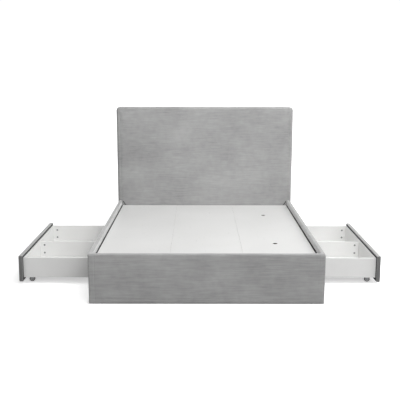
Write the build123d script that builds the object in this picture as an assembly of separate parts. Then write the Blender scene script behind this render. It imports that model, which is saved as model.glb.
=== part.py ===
from build123d import *

import os

# Upholstered queen-size platform bed with one castored storage drawer in each side.
# Axes: +X to the right when standing at the foot, +Y towards the headboard, +Z up.
# Origin: on the floor, in the middle of the bed's footprint with both drawers shut.
# Every size is in millimetres.

# ---------------------------------------------------------------- driving sizes

# mattress well
mattress_width = 1530
mattress_length = 2030
mattress_side_play = 7  # between the mattress and each side rail
mattress_end_play = 5  # between the mattress and the foot, and the headboard

# heights above the floor
glide_height = 3
rail_top = 342
deck_recess = 46  # how far the deck lies below the rail tops
head_top = 1210

# upholstered side rails
rail_board = 16
rail_wrap = 6  # wadding and fabric on each face
rail_edge_radius = 5

# upholstered foot panel
foot_board = 18
foot_padding = 8
foot_edge_radius = 11
foot_rise = 4  # how far the foot panel's padded top stands over the rails

# upholstered headboard
head_foam = 37
head_board = 18
head_frame = 19
head_lining = 3
head_overhang = 11  # how far the headboard stands out past each side rail
head_edge_radius = 24
head_corner_radius = 30
head_back_radius = 6
head_back_turn = 40  # width of fabric turned round on to the back
head_frame_width = 70

fabric = 3  # cover cloth with its backing

# slatless deck
deck_board = 15
deck_boards = 3
deck_side_gap = 8
deck_end_gap = 5
deck_seam = 0.6
finger_hole_diameter = 35
finger_hole_inset = 482  # from each end of the lift-out board
board_arris = 1.0  # softened edge of every laminated board

# timber that carries the deck
ledger_depth = 30
ledger_height = 40
bearer_width = 30
panel_board = 16  # centre panel and bulkheads
cover_lap = 2  # the cover's inner leg ends this far above the ledgers

# drawers
front_length = 1192
front_height = 197
front_floor_gap = 18
front_board = 20
front_wrap = 5
front_side_gap = 4
front_top_gap = 5
front_edge_radius = 4
box_side_inset = 26  # drawer front's overhang past each side of the box
box_floor_gap = 46
box_height = 148
box_length = 650  # side boards, from the inner front to the back
box_board = 15
box_bottom = 12
bottom_raise = 2  # underside of the bottom above the lower edge of the sides
divider_drop = 10  # how far the divider's top lies below the sides
left_pulled_out = 575
right_pulled_out = 482
drawer_travel = 600
stop_clearance = 3
guide_height = 40
guide_floor_gap = 60
guide_play = 3
bay_play = 1  # between the opening in the rail and each bulkhead
stop_thickness = 20
stop_width = 30
stop_dip = 14  # how far a stop reaches below the top of the drawer's back
stop_offset = 290  # each stop from the divider

# castors
wheel_diameter = 42
wheel_width = 16
wheel_side_play = 0.6
axle_diameter = 6
axle_clearance = 0.05
axle_head = 1.5
fork_sheet = 2
fork_length = 42
fork_ear_radius = 8
castor_front_inset = 80  # axle from the outer face of the drawer front
castor_back_inset = 60  # axle from the back of the box
castor_side_inset = 60  # middle of the wheel from the outer face of a side
castor_screw_x = 15
castor_screw_y = 4.5
castor_plate_width = 46

# fasteners
cam_diameter = 15
cam_depth = 12.5
cam_inset = 34  # from the end of the board
cam_spacing = 64
cam_floor = 92  # height of the lower cam
cam_slot = 2.5
bracket_leg = 45
bracket_sheet = 3
bracket_height = 120
bracket_floor = 100
bolt_diameter = 8
bolt_head_diameter = 14
bolt_head = 5
bolt_reach = 12  # into a board past the bracket
bolt_pitch = 70
screw_diameter = 4
screw_head_diameter = 7
screw_head = 1.6
screw_reach = 9
hole_clearance = 0.2  # on the diameter of every fastener's hole
glide_diameter = 24
glide_inset = 90

# ---------------------------------------------------------------- worked-out places

rail_thickness = rail_board + 2 * rail_wrap
foot_thickness = foot_board + 2 * (foot_padding + fabric)
head_thickness = fabric + head_foam + head_board + head_frame + head_lining
inner_x = mattress_width / 2 + mattress_side_play
outer_x = inner_x + rail_thickness
rail_board_x = inner_x + rail_wrap  # inner face of the rail's board
inner_length = mattress_length + 2 * mattress_end_play
overall_length = foot_thickness + inner_length + head_thickness
foot_front = -overall_length / 2
foot_inner = foot_front + foot_thickness
foot_top = rail_top + foot_rise
foot_board_y = foot_inner - foot_padding - fabric  # inner face of the foot's board
head_front = foot_inner + inner_length
head_back = head_front + head_thickness
deck_top = rail_top - deck_recess
deck_bottom = deck_top - deck_board
ledger_bottom = deck_bottom - ledger_height
lap_bottom = deck_bottom + cover_lap
ledger_x = rail_board_x - ledger_depth  # inner face of a side ledger

bay_middle = (foot_inner + head_front) / 2
bay_half = front_length / 2 + front_side_gap
bay_top = front_floor_gap + front_height + front_top_gap
front_thickness = front_board + 2 * front_wrap
box_width = front_length - 2 * box_side_inset
box_top = box_floor_gap + box_height
inner_front_start = front_wrap + front_board
box_start = inner_front_start + box_board  # depths from the drawer front's outer face
box_end = box_start + box_length
bottom_z = box_floor_gap + bottom_raise
floor_z = bottom_z + box_bottom
bulkhead_inner = bay_half + bay_play

# ---------------------------------------------------------------- helpers

os.makedirs("parts", exist_ok=True)


def save(node, shape):
    """Writes one named sub-part."""
    export_step(shape, f"parts/{node}.step")


def span(x0, x1, y0, y1, z0, z1):
    """A block between two values on each axis, given in either order."""
    lowest = (min(x0, x1), min(y0, y1), min(z0, z1))
    size = (abs(x1 - x0), abs(y1 - y0), abs(z1 - z0))
    return Pos(*lowest) * Box(*size, align=(Align.MIN, Align.MIN, Align.MIN))


def laminated(x0, x1, y0, y1, z0, z1):
    """A laminated board: a block with every arris softened."""
    block = span(x0, x1, y0, y1, z0, z1)
    return fillet(block.edges(), board_arris)


def rod(x, y, z, diameter, length, direction):
    """A round bar that starts at a point and runs along a direction."""
    start = Plane(origin=(x, y, z), z_dir=direction)
    bar = Cylinder(diameter / 2, length, align=(Align.CENTER, Align.CENTER, Align.MIN))
    return start * bar


def bolt(x, y, z, direction, reach):
    """A bolt whose head bears on a bracket at a point and whose shank runs along a direction."""
    back = tuple(-part for part in direction)
    head = rod(x, y, z, bolt_head_diameter, bolt_head, back)
    return head + rod(x, y, z, bolt_diameter, bracket_sheet + reach, direction)


def bolt_hole(x, y, z, direction, reach):
    """The hole for that bolt through the bracket and into what is behind it."""
    return rod(x, y, z, bolt_diameter + hole_clearance, bracket_sheet + reach, direction)


def mirrored(shape):
    """The same shape on the other side of the bed."""
    return mirror(shape, about=Plane.YZ)


def both_sides(shapes):
    """Shapes made on the right, with their copies on the left."""
    return list(shapes) + [mirrored(shape) for shape in shapes]


# ---------------------------------------------------------------- corner brackets and bolts

bolt_heights = [
    bracket_floor + bracket_height / 2 - bolt_pitch / 2,
    bracket_floor + bracket_height / 2 + bolt_pitch / 2,
]
bolt_leg_middle = bracket_leg / 2 + bracket_sheet / 2


def corner_bracket(wall_y, inward):
    """A right-hand steel angle between a rail and the panel whose inner face is at wall_y."""
    top = bracket_floor + bracket_height
    on_rail = span(
        rail_board_x - bracket_sheet, rail_board_x,
        wall_y, wall_y + inward * bracket_leg, bracket_floor, top,
    )
    on_panel = span(
        rail_board_x - bracket_leg, rail_board_x,
        wall_y, wall_y + inward * bracket_sheet, bracket_floor, top,
    )
    return on_rail + on_panel


def corner_bolt_places(wall_y, inward, panel_reach):
    """Head position, direction and reach of the four bolts of one bracket."""
    places = []
    for height in bolt_heights:
        rail_point = (rail_board_x - bracket_sheet, wall_y + inward * bolt_leg_middle, height)
        panel_point = (rail_board_x - bolt_leg_middle, wall_y + inward * bracket_sheet, height)
        places.append((*rail_point, (1, 0, 0), bolt_reach))
        places.append((*panel_point, (0, -inward, 0), panel_reach))
    return places


head_bolt_reach = fabric + 2 * bolt_reach
foot_places = corner_bolt_places(foot_board_y, 1, bolt_reach)
head_places = corner_bolt_places(head_front, -1, head_bolt_reach)
bolt_places = foot_places + head_places
bolts = both_sides([bolt(*place) for place in bolt_places])
holes = Compound(both_sides([bolt_hole(*place) for place in bolt_places]))
brackets = both_sides([corner_bracket(foot_board_y, 1), corner_bracket(head_front, -1)])

save("corner_brackets", Compound([bracket - holes for bracket in brackets]))
save("corner_bolts", Compound(bolts))

# ---------------------------------------------------------------- headboard


def headboard_envelope(inset, edge, corner, back):
    """The headboard's outer form, taken in by an inset on every side."""
    half = outer_x + head_overhang - inset
    low = glide_height + inset
    form = span(-half, half, head_front + inset, head_back - inset, low, head_top - inset)
    top_corners = form.edges().filter_by(Axis.Y).group_by(Axis.Z)[-1]
    form = fillet(top_corners, corner)
    form = fillet(form.faces().sort_by(Axis.Y)[0].edges().filter_by(lambda e: e.center().Z > low + 1), edge)
    rear = form.faces().sort_by(Axis.Y)[-1].edges()
    return fillet(rear.filter_by(lambda e: e.center().Z > low + 1), back)


head_outer = headboard_envelope(0, head_edge_radius, head_corner_radius, head_back_radius)
head_cavity = headboard_envelope(
    fabric, head_edge_radius - fabric, head_corner_radius - fabric, head_back_radius - fabric
)
head_half = outer_x + head_overhang
head_low = glide_height + fabric
foam_y = head_front + fabric
board_y = foam_y + head_foam
frame_y = board_y + head_board
lining_y = frame_y + head_frame
window = (
    -head_half + head_back_turn, head_half - head_back_turn,
    lining_y, head_back, glide_height + head_back_turn, head_top - head_back_turn,
)


def head_slice(y0, y1, z0, z1, x0=-head_half, x1=head_half):
    """What the headboard's cavity holds between two depths and two heights."""
    return head_cavity & span(x0, x1, y0, y1, z0, z1)


head_cover = head_outer - head_cavity - span(*window) - holes
head_base_rail = head_slice(foam_y, board_y, 0, lap_bottom) - holes
stile_x = head_half - fabric - head_frame_width  # inner edge of an outer upright
rail_z0 = head_low + head_frame_width  # top of the frame's lower crosspiece
rail_z1 = head_top - fabric - head_frame_width  # underside of its upper crosspiece
head_frame_pieces = [
    head_slice(frame_y, lining_y, 0, head_top, -head_half, -stile_x),
    head_slice(frame_y, lining_y, 0, head_top, stile_x, head_half),
    head_slice(frame_y, lining_y, 0, rail_z0, -stile_x, stile_x),
    head_slice(frame_y, lining_y, rail_z1, head_top, -stile_x, stile_x),
    head_slice(frame_y, lining_y, rail_z0, rail_z1, -head_frame_width / 2, head_frame_width / 2),
]

save("headboard_cover", head_cover)
save("headboard_foam", head_slice(foam_y, board_y, lap_bottom, head_top))
save("headboard_base_rail", head_base_rail)
save("headboard_board", head_slice(board_y, frame_y, 0, head_top))
save("headboard_frame", Compound(head_frame_pieces))
save("headboard_back_lining", span(*window))

# ---------------------------------------------------------------- foot panel


def foot_envelope(inset, radius):
    """The foot panel's outer form, taken in by an inset on every side."""
    form = span(
        -outer_x + inset, outer_x - inset, foot_front + inset, foot_inner - inset,
        glide_height + inset, foot_top - inset,
    )
    upright = form.edges().filter_by(Axis.Z)
    form = fillet(upright, radius)
    return fillet(form.faces().sort_by(Axis.Z)[-1].edges(), radius)


foot_outer = foot_envelope(0, foot_edge_radius)
foot_cavity = foot_envelope(fabric, foot_edge_radius - fabric)
foot_core_inset = fabric + foot_padding
foot_core = span(
    -outer_x + foot_core_inset, outer_x - foot_core_inset,
    foot_front + foot_core_inset, foot_board_y,
    glide_height + fabric, foot_top - foot_core_inset,
)
foot_bare = span(-rail_board_x, rail_board_x, foot_board_y, foot_inner, 0, lap_bottom)

save("foot_cover", foot_outer - foot_cavity - foot_bare)
save("foot_padding", foot_cavity - foot_core - foot_bare)
save("foot_board", foot_core - holes)

# ---------------------------------------------------------------- side rails


def rail_form(inset, top_inset, bay_growth):
    """A right-hand rail with its drawer bay, taken in by an inset on its faces."""
    form = span(
        inner_x + inset, outer_x - inset, foot_inner, head_front,
        glide_height + top_inset / 2, rail_top - top_inset,
    )
    bay = span(
        inner_x, outer_x, bay_middle - bay_half - bay_growth, bay_middle + bay_half + bay_growth,
        0, bay_top + bay_growth,
    )
    return form - bay


rail_outer = rail_form(0, 0, 0)
rail_outer = fillet(rail_outer.edges().filter_by(Axis.Y).group_by(Axis.Z)[-1], rail_edge_radius)
rail_core = rail_form(rail_wrap, rail_wrap, rail_wrap / 2)
rail_bare = span(inner_x, rail_board_x, foot_inner, head_front, 0, lap_bottom)
rail_cover = rail_outer - rail_core - rail_bare

board_joint = bay_top + rail_wrap / 2  # where the long upper board meets the two end boards
rail_core -= holes
rail_boards = [
    rail_core & span(inner_x, outer_x, foot_inner, head_front, board_joint, rail_top),
    rail_core & span(inner_x, outer_x, foot_inner, bay_middle - bay_half, 0, board_joint),
    rail_core & span(inner_x, outer_x, bay_middle + bay_half, head_front, 0, board_joint),
]

save("right_rail_cover", rail_cover)
save("right_rail_boards", Compound(rail_boards))
save("left_rail_cover", mirrored(rail_cover))
save("left_rail_boards", Compound([mirrored(board) for board in rail_boards]))

# ---------------------------------------------------------------- deck and what carries it

side_ledger = span(ledger_x, rail_board_x, foot_inner, head_front, ledger_bottom, deck_bottom)
foot_ledger = span(-ledger_x, ledger_x, foot_board_y, foot_board_y + ledger_depth, ledger_bottom, deck_bottom)
head_ledger = span(-ledger_x, ledger_x, head_front - ledger_depth, head_front, ledger_bottom, deck_bottom)

save("right_ledger", side_ledger)
save("left_ledger", mirrored(side_ledger))
save("foot_ledger", foot_ledger)
save("head_ledger", head_ledger)

centre_panel = span(
    -panel_board / 2, panel_board / 2, foot_board_y, head_front - bracket_sheet, 0, ledger_bottom
)
save("centre_panel", centre_panel)

bulkheads = []
for way in (-1, 1):
    inner = bay_middle + way * bulkhead_inner
    board = span(panel_board / 2, rail_board_x, inner, inner + way * panel_board, 0, ledger_bottom)
    bulkheads.append(board)
save("bulkheads", Compound(both_sides(bulkheads)))

bearer_ys = (
    bay_middle - bulkhead_inner - panel_board / 2,
    bay_middle,
    bay_middle + bulkhead_inner + panel_board / 2,
)
bearers = [
    span(-ledger_x, ledger_x, y - bearer_width / 2, y + bearer_width / 2, ledger_bottom, deck_bottom)
    for y in bearer_ys
]
save("cross_bearers", Compound(bearers))

deck_width = 2 * (inner_x - deck_side_gap)
board_width = (deck_width - (deck_boards - 1) * deck_seam) / deck_boards
deck_y0 = foot_inner + deck_end_gap
deck_y1 = head_front - deck_end_gap
for index, name in enumerate(("left", "middle", "right")):
    x0 = -deck_width / 2 + index * (board_width + deck_seam)
    board = laminated(x0, x0 + board_width, deck_y0, deck_y1, deck_bottom, deck_top)
    if name == "right":
        for y in (deck_y0 + finger_hole_inset, deck_y1 - finger_hole_inset):
            middle = x0 + board_width / 2
            board -= rod(middle, y, deck_bottom, finger_hole_diameter, deck_board, (0, 0, 1))
        rims = board.edges().filter_by(GeomType.CIRCLE).filter_by(
            lambda e: abs(e.radius - finger_hole_diameter / 2) < 0.1
        )
        board = fillet(rims, board_arris)
    save(f"deck_board_{name}", board)

# ---------------------------------------------------------------- floor glides

foot_line = foot_front + foot_thickness / 2
head_line = (board_y + frame_y) / 2
rail_line = (inner_x + outer_x) / 2
glide_places = [
    (outer_x - glide_inset, foot_line),
    (outer_x - glide_inset, head_line),
    (rail_line, foot_inner + glide_inset),
    (rail_line, head_front - glide_inset),
]
glides = [rod(x, y, 0, glide_diameter, glide_height, (0, 0, 1)) for x, y in glide_places]
save("floor_glides", Compound(both_sides(glides)))

# ---------------------------------------------------------------- drawer guides and stops

guides = []
for way in (-1, 1):
    near_box = bay_middle + way * (box_width / 2 + guide_play)
    guides.append(span(
        panel_board / 2, outer_x - front_thickness - front_side_gap,
        near_box, bay_middle + way * bulkhead_inner,
        guide_floor_gap, guide_floor_gap + guide_height,
    ))
save("drawer_guides", Compound(both_sides(guides)))

stop_face = outer_x + drawer_travel - (box_end - box_board) + stop_clearance
stops = [
    span(
        stop_face, ledger_x, bay_middle + y - stop_width / 2, bay_middle + y + stop_width / 2,
        box_top - stop_dip, deck_bottom,
    )
    for y in (-stop_offset, stop_offset)
]
save("drawer_stops", Compound(both_sides(stops)))

# ---------------------------------------------------------------- drawers


def castor(x, y):
    """Fork, axle, wheel and plate screws of one fixed castor whose axle crosses (x, y)."""
    axle_z = wheel_diameter / 2
    half_gap = wheel_width / 2 + wheel_side_play
    half_fork = half_gap + fork_sheet
    plate = span(
        x - fork_length / 2, x + fork_length / 2,
        y - castor_plate_width / 2, y + castor_plate_width / 2, box_floor_gap, bottom_z,
    )
    plate = fillet(plate.edges().filter_by(Axis.Z), fork_sheet)
    cheeks = []
    for way in (-1, 1):
        y0 = y + way * half_gap
        upright = span(
            x - fork_ear_radius, x + fork_ear_radius, y0, y0 + way * fork_sheet, axle_z, box_floor_gap
        )
        ear = rod(x, y0, axle_z, 2 * fork_ear_radius, fork_sheet, (0, way, 0))
        cheeks.append(upright + ear)
    fork = plate + cheeks[0] + cheeks[1]
    fork -= rod(x, y - half_fork, axle_z, axle_diameter, 2 * half_fork, (0, 1, 0))

    axle = rod(x, y - half_fork, axle_z, axle_diameter, 2 * half_fork, (0, 1, 0))
    for way in (-1, 1):
        axle += rod(x, y + way * half_fork, axle_z, 1.6 * axle_diameter, axle_head, (0, way, 0))

    wheel = rod(x, y - wheel_width / 2, axle_z, wheel_diameter, wheel_width, (0, 1, 0))
    wheel = fillet(wheel.edges(), 2.5)
    for way in (-1, 1):
        face = y + way * wheel_width / 2
        dish = rod(x, face, axle_z, 0.66 * wheel_diameter, 2, (0, -way, 0))
        boss = rod(x, face, axle_z, 2 * axle_diameter, 2, (0, -way, 0))
        wheel -= dish - boss
    bore = axle_diameter + 2 * axle_clearance
    wheel -= rod(x, y - wheel_width / 2, axle_z, bore, wheel_width, (0, 1, 0))

    screws, screw_holes = [], []
    for dx in (-castor_screw_x, castor_screw_x):
        for way in (-1, 1):
            point = (x + dx, y + way * (half_fork + castor_screw_y))
            head = rod(*point, box_floor_gap, screw_head_diameter, screw_head, (0, 0, -1))
            shank = rod(*point, box_floor_gap, screw_diameter, screw_reach, (0, 0, 1))
            hole = rod(*point, box_floor_gap, screw_diameter + hole_clearance, screw_reach, (0, 0, 1))
            screws.append(head + shank)
            screw_holes.append(hole)
    return fork - Compound(screw_holes), axle, wheel, screws, screw_holes


def cam_lock(x, face_y, z, inward):
    """A cam lock set into a board's face, and the pocket that it sits in."""
    direction = (0, inward, 0)
    cam = rod(x, face_y, z, cam_diameter, cam_depth, direction)
    for long_x, long_z in ((cam_diameter, cam_slot), (cam_slot, cam_diameter)):
        cam -= span(
            x - long_x * 0.35, x + long_x * 0.35, face_y, face_y + inward * 2,
            z - long_z * 0.35, z + long_z * 0.35,
        )
    pocket = rod(x, face_y, z, cam_diameter + hole_clearance, cam_depth, direction)
    return cam, pocket


def make_drawer(pulled_out):
    """The sub-parts of the right-hand drawer, pulled out by a distance."""
    face_x = outer_x + pulled_out  # outer face of the drawer front
    near, far = bay_middle - box_width / 2, bay_middle + box_width / 2
    front_z0, front_z1 = front_floor_gap, front_floor_gap + front_height

    def depth(value):
        """X of a depth measured from the drawer front's outer face."""
        return face_x - value

    def front_block(inset):
        return span(
            depth(inset), depth(front_thickness - inset),
            bay_middle - front_length / 2 + inset, bay_middle + front_length / 2 - inset,
            front_z0 + inset, front_z1 - inset,
        )

    outer = fillet(front_block(0).edges(), front_edge_radius)
    core = front_block(front_wrap)
    seat = span(
        depth(inner_front_start), depth(front_thickness), near, far, box_floor_gap, box_top
    )
    parts = {"front_cover": outer - core - seat, "front_board": core}

    parts["inner_front"] = laminated(
        depth(inner_front_start), depth(box_start), near, far, box_floor_gap, box_top
    )
    near_side = laminated(depth(box_start), depth(box_end), near, near + box_board, box_floor_gap, box_top)
    far_side = laminated(depth(box_start), depth(box_end), far - box_board, far, box_floor_gap, box_top)
    divider = laminated(
        depth(box_start), depth(box_end - box_board),
        bay_middle - box_board / 2, bay_middle + box_board / 2, floor_z, box_top - divider_drop,
    )
    cams = []
    cam_x = depth(box_start + cam_inset)
    for z in (cam_floor, cam_floor + cam_spacing):
        cam, pocket = cam_lock(cam_x, near + box_board, z, -1)
        near_side -= pocket
        cams.append(cam)
        cam, pocket = cam_lock(cam_x, far - box_board, z, 1)
        far_side -= pocket
        cams.append(cam)
        cam, pocket = cam_lock(cam_x, bay_middle - box_board / 2, z, 1)
        divider -= pocket
        cams.append(cam)
    parts["near_side"] = near_side
    parts["far_side"] = far_side
    parts["divider"] = divider
    parts["back"] = laminated(
        depth(box_end - box_board), depth(box_end), near + box_board, far - box_board, box_floor_gap, box_top
    )
    parts["cam_locks"] = Compound(cams)

    bottom = span(
        depth(box_start), depth(box_end - box_board), near + box_board, far - box_board, bottom_z, floor_z
    )
    forks, axles, all_screws = [], [], []
    for row, inset in (("outer", castor_front_inset), ("inner", box_end - castor_back_inset)):
        for end, y in (("near", near + castor_side_inset), ("far", far - castor_side_inset)):
            fork, axle, wheel, screws, screw_holes = castor(depth(inset), y)
            forks.append(fork)
            axles.append(axle)
            all_screws.extend(screws)
            for hole in screw_holes:
                bottom -= hole
            parts[f"wheel_{row}_{end}"] = wheel
    parts["bottom"] = bottom
    parts["castor_forks"] = Compound(forks)
    parts["castor_axles"] = Compound(axles)
    parts["castor_screws"] = Compound(all_screws)
    return parts


for name, shape in make_drawer(right_pulled_out).items():
    save(f"right_drawer_{name}", shape)
for name, shape in make_drawer(left_pulled_out).items():
    save(f"left_drawer_{name}", mirrored(shape))
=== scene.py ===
# %% [markdown]
# # An upholstered storage bed
# The timber, boards, castors and fasteners of this bed come finished from the design: they are the fixed
# frame. What is left to make here is what a designer's model leaves plain, which is the velvet upholstery
# over its padding, the stitching and staples that hold it, the rolling castors, and every material. All
# lengths are metres, in the frame's own axes: +X to the right from the foot, +Y to the headboard, +Z up.

import math

import bmesh
import bpy
import numpy as np
from mathutils import Matrix, Vector


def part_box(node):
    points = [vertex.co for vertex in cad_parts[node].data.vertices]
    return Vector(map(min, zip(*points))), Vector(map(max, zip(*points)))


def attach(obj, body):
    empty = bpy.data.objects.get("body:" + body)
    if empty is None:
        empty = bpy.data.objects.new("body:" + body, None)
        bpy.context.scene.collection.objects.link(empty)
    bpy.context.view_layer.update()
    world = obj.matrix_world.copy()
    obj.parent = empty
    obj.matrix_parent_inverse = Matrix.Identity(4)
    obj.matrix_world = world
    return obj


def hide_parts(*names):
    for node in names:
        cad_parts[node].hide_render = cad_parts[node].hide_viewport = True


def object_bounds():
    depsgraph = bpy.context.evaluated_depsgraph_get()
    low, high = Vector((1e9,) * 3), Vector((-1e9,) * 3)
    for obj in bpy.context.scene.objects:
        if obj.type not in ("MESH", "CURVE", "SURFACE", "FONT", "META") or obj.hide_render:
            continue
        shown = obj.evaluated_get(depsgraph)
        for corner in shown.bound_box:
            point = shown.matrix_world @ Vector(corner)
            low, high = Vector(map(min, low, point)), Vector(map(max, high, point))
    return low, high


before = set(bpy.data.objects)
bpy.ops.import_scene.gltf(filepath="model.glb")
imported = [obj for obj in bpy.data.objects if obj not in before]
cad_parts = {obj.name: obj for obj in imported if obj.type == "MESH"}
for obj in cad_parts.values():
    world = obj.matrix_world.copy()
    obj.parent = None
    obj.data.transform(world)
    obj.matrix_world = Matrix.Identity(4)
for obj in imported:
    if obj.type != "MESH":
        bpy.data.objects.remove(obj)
cad_low, cad_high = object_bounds()
print("frame box", [round(v, 3) for v in (*cad_low, *cad_high)])

# %% [markdown]
# ## The camera
# A view of furniture that shows both drawers is taken from standing height, a little to one side of the
# bed's middle, with a long lens, so that upright edges stay upright. The camera is aimed with three turns:
# down, sideways and a slight roll, and its axes are worked out from them, which is surer than guessing
# Euler angles.

# %% Place the camera
def add_piece(name, data):
    """A new object made of a mesh, a lamp or a camera."""
    piece = bpy.data.objects.new(name, data)
    bpy.context.scene.collection.objects.link(piece)
    return piece


eye = Vector((-0.0538, -6.0197, 1.5955))
look_down = math.radians(10.11)
look_aside = math.radians(0.09)
roll = math.radians(0.10)

forward = Vector((
    math.sin(look_aside) * math.cos(look_down),
    math.cos(look_aside) * math.cos(look_down),
    -math.sin(look_down),
))
level = Vector((math.cos(look_aside), -math.sin(look_aside), 0))
above = level.cross(forward)
across = level * math.cos(roll) + above * math.sin(roll)
above = above * math.cos(roll) - level * math.sin(roll)

camera_data = bpy.data.cameras.new("camera")
camera_data.sensor_width = 36
camera_data.lens = 68.43
camera = add_piece("camera", camera_data)
camera.matrix_world = Matrix.LocRotScale(eye, Matrix((across, above, -forward)).transposed(), None)
bpy.context.scene.camera = camera
print("camera stands", round(eye.length, 2), "m from the middle of the bed")

# %% [markdown]
# ## Shader maths as plain Python
# A material is a sum of small patterns. Written node by node it is hard to read, so one small class wraps a
# socket and lets Python's own operators add the Math nodes: `1 - mask * 0.3` is three nodes and one line.

# %% A socket that does arithmetic
class Wire:
    """The outlet of a node, which arithmetic and mixing can be done on."""

    def __init__(self, shader, socket):
        self.shader = shader
        self.socket = socket

    def math(self, operation, first, second):
        return self.shader.node("ShaderNodeMath", {"operation": operation}, {0: first, 1: second})

    def __add__(self, other):
        return self.math("ADD", self, other)

    def __sub__(self, other):
        return self.math("SUBTRACT", self, other)

    def __mul__(self, other):
        return self.math("MULTIPLY", self, other)

    def __rsub__(self, other):
        return self.math("SUBTRACT", other, self)

    __radd__ = __add__
    __rmul__ = __mul__

    def far(self):
        """The size of the value, without its sign."""
        return self.math("ABSOLUTE", self, 0)

    def or_more(self, other):
        """The greater of two values."""
        return self.math("MAXIMUM", self, other)

    def above(self, edge, softness):
        """1 where the value is over an edge, 0 where it is under it, and a ramp between."""
        return self.shader.node(
            "ShaderNodeMapRange", {"interpolation_type": "SMOOTHSTEP"},
            {"Value": self, "From Min": edge - softness, "From Max": edge + softness},
        )


class Shader:
    """One material, or the sky, and its node tree."""

    def __init__(self, name, home=None):
        self.owner = (bpy.data.materials if home is None else home).new(name)
        self.owner.use_nodes = True
        self.tree = self.owner.node_tree
        self.tree.nodes.clear()

    def node(self, kind, settings, sockets, outlet=0):
        """Adds a node, sets it up, feeds its sockets with values or wires, and gives back one outlet."""
        made = self.tree.nodes.new(kind)
        for name, value in settings.items():
            setattr(made, name, value)
        for name, value in sockets.items():
            if isinstance(value, Wire):
                self.tree.links.new(value.socket, made.inputs[name])
            else:
                made.inputs[name].default_value = value
        return Wire(self, made.outputs[outlet]) if len(made.outputs) else None

    def place(self, stretch=(1, 1, 1)):
        """The point on the piece, in metres, with each axis stretched."""
        point = self.node("ShaderNodeTexCoord", {}, {}, "Object")
        return self.node("ShaderNodeVectorMath", {"operation": "MULTIPLY"}, {0: point, 1: stretch})

    def noise(self, scale, detail=3, roughness=0.5, distortion=0, stretch=(1, 1, 1)):
        """Cloudy noise around 0.5."""
        return self.node("ShaderNodeTexNoise", {}, {
            "Vector": self.place(stretch), "Scale": scale, "Detail": detail, "Roughness": roughness,
            "Distortion": distortion,
        })

    def cells(self, point, scale, outlet="Distance"):
        """Voronoi cells: flakes, pores and dots."""
        return self.node("ShaderNodeTexVoronoi", {}, {"Vector": point, "Scale": scale}, outlet)

    def part(self, point, axis):
        """One coordinate of a point."""
        return self.node("ShaderNodeSeparateXYZ", {}, {"Vector": point}, axis)

    def facing(self, axis):
        """How squarely the surface faces along an axis, from 0 to 1."""
        return self.part(self.node("ShaderNodeTexCoord", {}, {}, "Normal"), axis).far()

    def mix(self, share, first, second):
        """A colour between two colours."""
        colours = [c if isinstance(c, Wire) else (*c, 1) for c in (first, second)]
        return self.node(
            "ShaderNodeMix", {"data_type": "RGBA"}, {0: share, 6: colours[0], 7: colours[1]}, 2
        )

    def bump(self, height, depth, strength=1.0, under=None):
        """A normal raised by a height between 0 and 1, over another bump if there is one."""
        sockets = {"Strength": strength, "Distance": depth, "Height": height}
        if under is not None:
            sockets["Normal"] = under
        return self.node("ShaderNodeBump", {}, sockets)

    def surface(self, **sockets):
        """The finish itself, and the end of the tree. Gives back the material."""
        named = {name.replace("_", " "): value for name, value in sockets.items()}
        finish = self.node("ShaderNodeBsdfPrincipled", {}, named)
        self.node("ShaderNodeOutputMaterial", {}, {"Surface": finish})
        return self.owner


# %% [markdown]
# ## Velvet
# Velvet is a short pile on a woven back. Brushed along the roll it shows long streaks, where the pile leans
# one way or the other, and broad soft patches where hands and packing have turned it. Both are brightness
# changes of one dye, so a single grey is shaded by three noises, each stretched along the roll. The roll
# runs across the headboard and the foot, and along the rails and the drawer fronts. Sheen gives the pale
# rim that pile has at grazing angles.

# %% Velvet and the thread that sews it
VELVET_DARK = (0.243, 0.243, 0.243)
VELVET_LIGHT = (0.425, 0.425, 0.424)
VELVET_SHADE = (0.05, 0.05, 0.05)


def velvet(name, roll_axis, puckers_with_painted_shade=False, painted_end_shade=0.0):
    """Light grey pile with its streaks along one axis, 0 for X or 1 for Y."""
    shader = Shader(name)

    def along(ratio, crosswise=1):
        return [ratio if axis == roll_axis else crosswise for axis in range(3)]

    patches = shader.noise(4.2, detail=4, roughness=0.55, distortion=0.35, stretch=along(0.65))
    streaks = shader.noise(60, detail=4, roughness=0.6, distortion=0.1, stretch=along(0.08))
    lines = shader.noise(170, detail=2, roughness=0.6, stretch=along(0.04))
    pile = shader.noise(1500, detail=2, roughness=0.7, stretch=along(0.5))
    ribs = shader.noise(620, detail=1, stretch=along(0.02))
    handling = shader.noise(21, detail=3, distortion=0.2)
    tone = 0.5 + (patches - 0.5) * 1.1 + (streaks - 0.5) * 0.42 + (lines - 0.5) * 0.8
    tone = tone + (handling - 0.5) * 0.45 + (pile - 0.5) * 0.4 + (ribs - 0.5) * 0.35
    soft = shader.bump(streaks * 0.6 + patches * 0.4, 0.0014, 0.5)
    if puckers_with_painted_shade:
        # The pucker noise is both the puckers' relief and their colour: a painted shade in their troughs
        # and a painted highlight on their crests.
        folds = shader.noise(70, stretch=along(1, crosswise=0.12))
        tone = tone + (folds - 0.5) * 0.5
        soft = shader.bump(folds, 0.0022, 0.6, under=soft)
    colour = shader.mix(tone, VELVET_DARK, VELVET_LIGHT)
    # Drawer fronts only: faces turned squarely along the roll are pulled toward a near-black grey, a
    # painted shade on the fronts' end faces.
    if painted_end_shade:
        end_on = shader.facing("XYZ"[roll_axis]).above(0.75, 0.25)
        colour = shader.mix(end_on * painted_end_shade, colour, VELVET_SHADE)
    relief = shader.bump(ribs * 0.6 + pile * 0.4, 0.0007, 0.45, under=soft)
    return shader.surface(
        Base_Color=colour, Roughness=0.82 + (streaks - 0.5) * 0.3, Normal=relief,
        Sheen_Weight=0.8, Sheen_Roughness=0.35,
    )


velvet_across = velvet("velvet_across", 0)
velvet_lengthwise = velvet("velvet_lengthwise", 1, puckers_with_painted_shade=True)
velvet_drawer = velvet("velvet_drawer", 1, puckers_with_painted_shade=True, painted_end_shade=0.6)


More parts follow.
